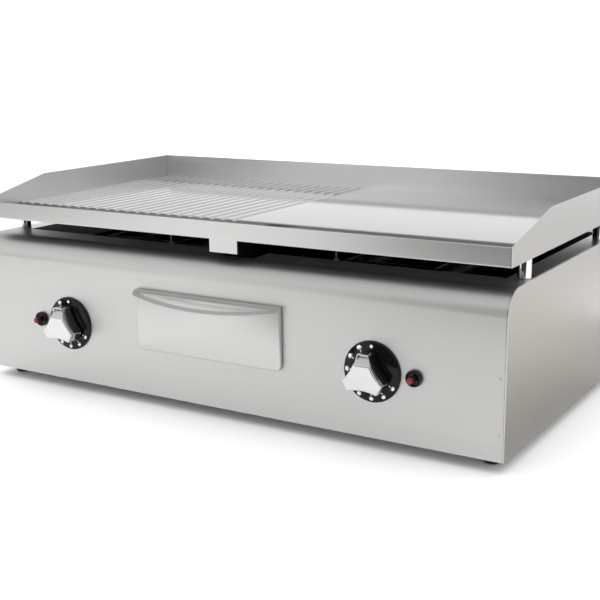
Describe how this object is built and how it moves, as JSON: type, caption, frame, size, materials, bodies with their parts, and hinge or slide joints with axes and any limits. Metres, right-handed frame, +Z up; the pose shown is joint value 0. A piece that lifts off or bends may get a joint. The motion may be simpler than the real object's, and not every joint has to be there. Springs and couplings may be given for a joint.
{
  "type": "gas griddle",
  "caption": "Countertop gas griddle: steel plate, half ribbed and half smooth, on posts over a steel casing with a grease drawer, gas knobs and igniters.",
  "frame": {"origin": "bottom centre of the overall box, level with the underside of the feet", "axes": "+X to the right and along the long side, -Y towards the user, +Z up"},
  "size_m": [0.8, 0.487, 0.2835],
  "materials": {
    "brushed_stainless": "satin",
    "polished_steel_plate": "polished",
    "galvanised_sheet": "matte",
    "black_enamel": "satin",
    "chrome_post": "polished",
    "zinc_fasteners": "satin",
    "black_dial": "gloss",
    "chrome_knob": "satin",
    "brass": "satin",
    "painted_pipe": "satin",
    "aluminium_tube": "satin",
    "burner_steel": "matte",
    "copper_tube": "satin",
    "electrode_ceramic": "gloss",
    "red_button": "gloss",
    "black_rubber": "matte"
  },
  "bodies": {
    "casing": {"front_panel": "brushed_stainless", "side_panel_left": "brushed_stainless", "side_panel_right": "brushed_stainless", "rear_panel": "galvanised_sheet", "base_pan": "galvanised_sheet", "heat_shield": "black_enamel", "drawer_runner_left": "galvanised_sheet", "drawer_runner_right": "galvanised_sheet", "griddle_plate": "polished_steel_plate", "front_trough": "brushed_stainless", "grease_spout": "brushed_stainless", "splash_guard_left": "brushed_stainless", "splash_guard_right": "brushed_stainless", "splash_guard_back": "brushed_stainless", "post_front_left": "chrome_post", "post_front_right": "chrome_post", "post_rear_left": "chrome_post", "post_rear_right": "chrome_post", "post_bolts": "zinc_fasteners", "dial_left": "black_dial", "dial_right": "black_dial", "valve_left": "brass", "valve_right": "brass", "gas_manifold": "painted_pipe", "gas_inlet": "brass", "supply_tube_left": "aluminium_tube", "supply_tube_right": "aluminium_tube", "injector_left": "brass", "injector_right": "brass", "burner_left": "burner_steel", "burner_right": "burner_steel", "burner_bracket_left": "galvanised_sheet", "burner_bracket_right": "galvanised_sheet", "thermocouple_left": "copper_tube", "thermocouple_right": "copper_tube", "electrode_left": "electrode_ceramic", "electrode_right": "electrode_ceramic", "igniter_body_left": "black_dial", "igniter_body_right": "black_dial", "foot_front_left": "black_rubber", "foot_front_right": "black_rubber", "foot_rear_left": "black_rubber", "foot_rear_right": "black_rubber", "foot_screws": "zinc_fasteners", "rear_panel_screws": "zinc_fasteners", "front_rivets": "zinc_fasteners"},
    "drawer": {"drawer_front": "brushed_stainless", "drawer_handle": "brushed_stainless", "drawer_tray": "galvanised_sheet"},
    "plug_left": {"valve_plug_left": "brass"},
    "plug_right": {"valve_plug_right": "brass"},
    "knob_left": {"knob_left": "chrome_knob", "spindle_left": "brass"},
    "knob_right": {"knob_right": "chrome_knob", "spindle_right": "brass"},
    "button_left": {"igniter_button_left": "red_button"},
    "button_right": {"igniter_button_right": "red_button"}
  },
  "joints": [
    {"name": "drawer_slide", "type": "slide", "parent": "casing", "child": "drawer", "axis": [0, -1, 0], "range_m": [0, 0.3]},
    {"name": "gas_tap_left_turn", "type": "hinge", "parent": "casing", "child": "plug_left", "pos_m": [-0.236, -0.188, 0.097], "axis": [0, -1, 0], "range_deg": [0, 240]},
    {"name": "knob_left_push", "type": "slide", "parent": "plug_left", "child": "knob_left", "axis": [0, 1, 0], "range_m": [0, 0.003], "stiffness_N_per_m": 1500, "springref_m": -0.006},
    {"name": "igniter_left_push", "type": "slide", "parent": "casing", "child": "button_left", "axis": [0, 1, 0], "range_m": [0, 0.004], "stiffness_N_per_m": 1500, "springref_m": -0.005},
    {"name": "gas_tap_right_turn", "type": "hinge", "parent": "casing", "child": "plug_right", "pos_m": [0.236, -0.188, 0.097], "axis": [0, -1, 0], "range_deg": [0, 240]},
    {"name": "knob_right_push", "type": "slide", "parent": "plug_right", "child": "knob_right", "axis": [0, 1, 0], "range_m": [0, 0.003], "stiffness_N_per_m": 1500, "springref_m": -0.006},
    {"name": "igniter_right_push", "type": "slide", "parent": "casing", "child": "button_right", "axis": [0, 1, 0], "range_m": [0, 0.004], "stiffness_N_per_m": 1500, "springref_m": -0.005}
  ]
}
